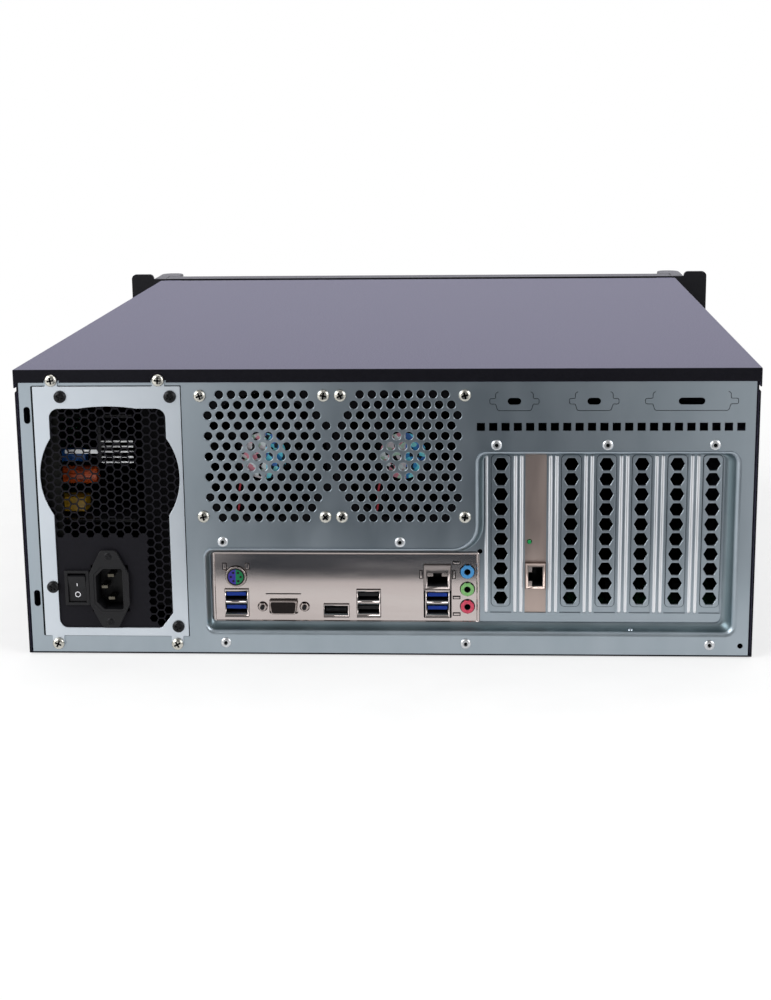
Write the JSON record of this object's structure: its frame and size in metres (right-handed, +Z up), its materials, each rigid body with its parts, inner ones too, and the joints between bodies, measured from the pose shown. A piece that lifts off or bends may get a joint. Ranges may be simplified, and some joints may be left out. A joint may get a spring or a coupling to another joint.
{
  "type": "rack server",
  "caption": "Rack-mount computer server: folded steel case with rack ears and handles, perforated rear panel, fans, slots, rear ports and a boxed power supply with inlet and rocker switch.",
  "frame": {"origin": "on the case's underside, midway across it and midway along the top cover", "axes": "+Z up, -Y towards the front with the handles, +Y towards the rear panel, +X towards the power supply side"},
  "size_m": [0.4826, 0.5461, 0.175],
  "materials": {
    "case_paint": "fine textured powder coat",
    "zinc_steel": "zinc plated sheet",
    "light_steel": "bright plated sheet",
    "tin": "tinned spring sheet",
    "screw_steel": "plated",
    "psu_paint": "matt black",
    "black_plastic": "matt",
    "bezel_plastic": "fine grain",
    "circuit_board": "solder mask",
    "aluminium": "plain",
    "brass": "turned",
    "colour_plastic": "moulded, one colour to each socket",
    "lead_red": "soft",
    "winding": "enamelled wire",
    "yellow_tape": "tape",
    "blue_sleeve": "shrink sleeve",
    "lens": "clear"
  },
  "bodies": {
    "case": {"base_tray": "case_paint", "top_cover": "case_paint", "front_panel": "case_paint", "left_handle": "case_paint", "right_handle": "case_paint", "front_bezel": "bezel_plastic", "bay_covers": "bezel_plastic", "control_board": "circuit_board", "front_lamps": "lens", "front_usb_ports": "tin", "drive_cage": "zinc_steel", "hard_drives": "aluminium", "front_fan_frame": "black_plastic", "rear_panel": "zinc_steel", "panel_rivets": "screw_steel", "case_screws": "screw_steel", "slot_covers": "zinc_steel", "network_bracket": "tin", "network_card": "circuit_board", "network_port": "tin", "network_lamp": "lens", "board_deck": "zinc_steel", "main_board": "circuit_board", "board_standoffs": "brass", "card_sockets": "black_plastic", "memory_modules": "circuit_board", "processor_heat_sink": "aluminium", "processor_fan_frame": "black_plastic", "left_rear_fan_frame": "black_plastic", "right_rear_fan_frame": "black_plastic", "fan_leads": "lead_red", "left_usb_ports": "tin", "middle_usb_ports": "tin", "right_usb_ports": "tin", "keyboard_port": "colour_plastic", "lan_port": "tin", "vga_port": "tin", "hdmi_port": "tin", "audio_jacks": "colour_plastic", "port_shield": "tin", "psu_plate": "light_steel", "psu_end_plate": "psu_paint", "psu_housing": "psu_paint", "psu_board": "circuit_board", "psu_transformer": "yellow_tape", "psu_coil": "winding", "psu_capacitor": "blue_sleeve", "psu_heat_sinks": "aluminium", "psu_fan_frame": "black_plastic", "mains_inlet": "black_plastic", "inlet_pins": "screw_steel", "switch_bezel": "black_plastic"},
    "left_rear_rotor": {"left_rear_fan_rotor": "black_plastic"},
    "right_rear_rotor": {"right_rear_fan_rotor": "black_plastic"},
    "processor_rotor": {"processor_fan_rotor": "black_plastic"},
    "front_rotor": {"front_fan_rotor": "black_plastic"},
    "psu_rotor": {"psu_fan_rotor": "black_plastic"},
    "rocker": {"switch_rocker": "black_plastic"},
    "power": {"power_button": "bezel_plastic"},
    "reset": {"reset_button": "bezel_plastic"}
  },
  "joints": [
    {"name": "left_rear_fan_spin", "type": "hinge", "parent": "case", "child": "left_rear_rotor", "pos_m": [0.0704, 0.2265, 0.1197], "axis": [0, 1, 0], "continuous": true},
    {"name": "right_rear_fan_spin", "type": "hinge", "parent": "case", "child": "right_rear_rotor", "pos_m": [-0.0108, 0.2265, 0.1197], "axis": [0, 1, 0], "continuous": true},
    {"name": "processor_fan_spin", "type": "hinge", "parent": "case", "child": "processor_rotor", "pos_m": [0.034, 0.1365, 0.075], "axis": [0, 0, 1], "continuous": true},
    {"name": "front_fan_spin", "type": "hinge", "parent": "case", "child": "front_rotor", "pos_m": [-0.12, -0.241, 0.086], "axis": [0, 1, 0], "continuous": true},
    {"name": "psu_fan_spin", "type": "hinge", "parent": "case", "child": "psu_rotor", "pos_m": [0.13, 0.1695, 0.0862], "axis": [1, 0, 0], "continuous": true},
    {"name": "rocker_tilt", "type": "hinge", "parent": "case", "child": "rocker", "pos_m": [0.1828, 0.2395, 0.0408], "axis": [1, 0, 0], "range_deg": [0, 18]},
    {"name": "power_press", "type": "slide", "parent": "case", "child": "power", "axis": [0, 1, 0], "range_m": [0, 0.002], "stiffness_N_per_m": 400},
    {"name": "reset_press", "type": "slide", "parent": "case", "child": "reset", "axis": [0, 1, 0], "range_m": [0, 0.0015], "stiffness_N_per_m": 400}
  ]
}
